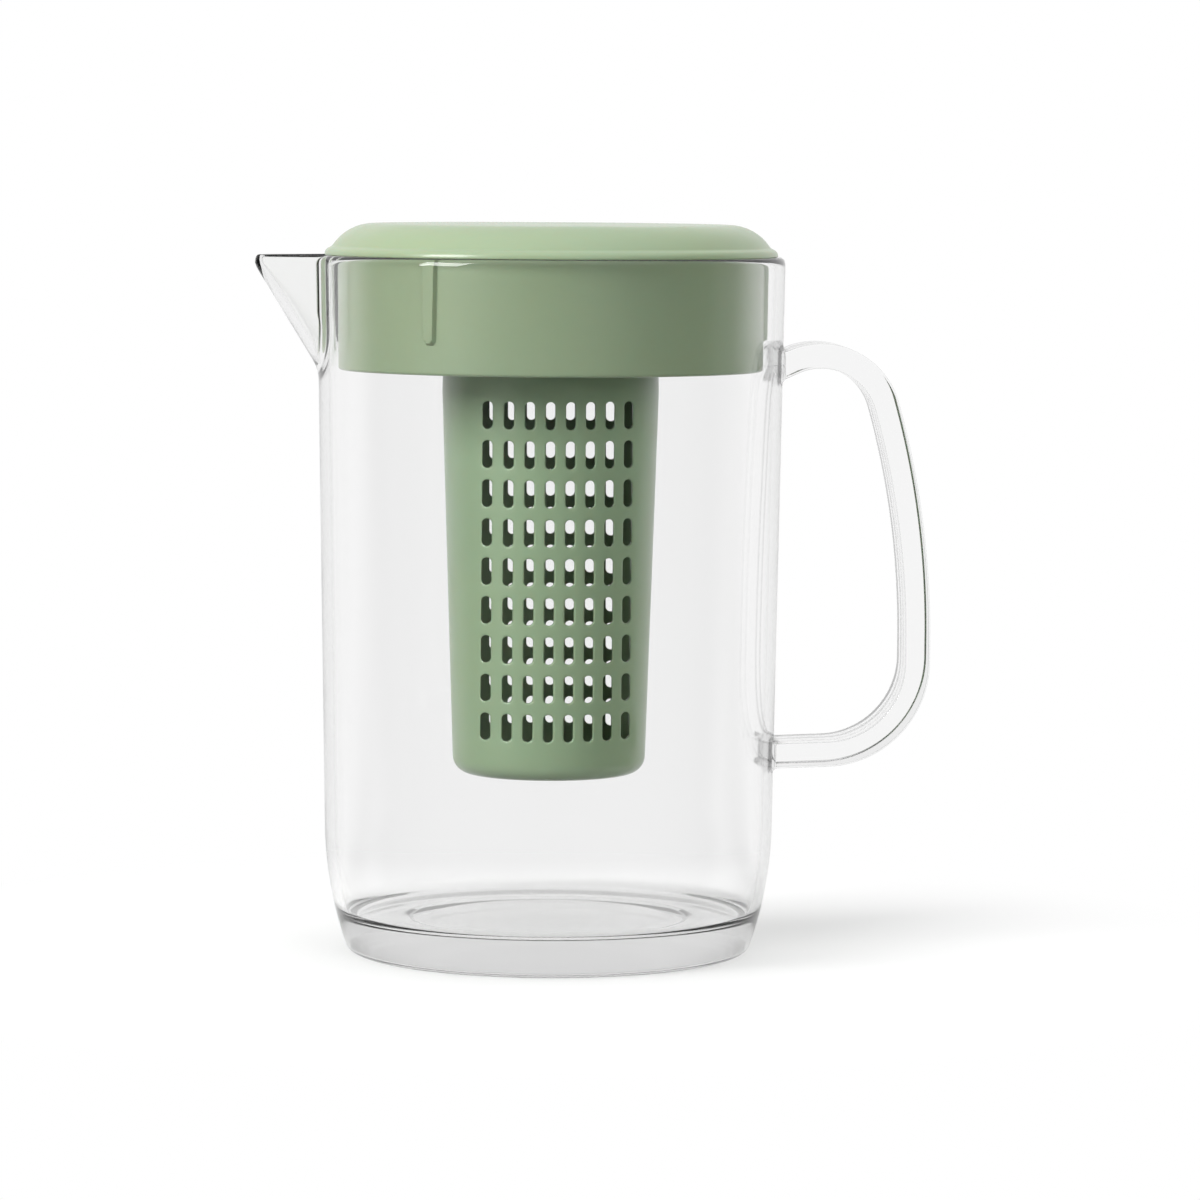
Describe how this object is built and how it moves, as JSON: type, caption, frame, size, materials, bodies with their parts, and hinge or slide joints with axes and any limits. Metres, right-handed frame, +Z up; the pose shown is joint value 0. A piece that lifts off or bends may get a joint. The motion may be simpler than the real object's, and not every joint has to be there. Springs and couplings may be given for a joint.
{
  "type": "fruit infuser pitcher",
  "caption": "Clear round pitcher with a moulded pouring beak and strap handle, a green domed lid with a long skirt, and a slotted infuser basket that hangs from the lid.",
  "frame": {"origin": "centre of the foot, on the surface that the pitcher stands on", "axes": "+Z up along the pitcher's axis, +X towards the handle, -X towards the beak"},
  "size_m": [0.2152, 0.1488, 0.2321],
  "materials": {
    "clear_body": "clear, glossy",
    "clear_handle": "clear, glossy",
    "green_lid": "glossy sage green",
    "green_basket": "glossy sage green, a little translucent"
  },
  "bodies": {
    "jug": {"jug_body": "clear_body", "jug_handle": "clear_handle"},
    "lid": {"lid": "green_lid"},
    "infuser": {"infuser_basket": "green_basket"}
  },
  "joints": [
    {"name": "lid_lift", "type": "slide", "parent": "jug", "child": "lid", "axis": [0, 0, 1], "range_m": [0, 0.21]},
    {"name": "infuser_drop", "type": "slide", "parent": "lid", "child": "infuser", "axis": [0, 0, -1], "range_m": [0, 0.04]}
  ]
}
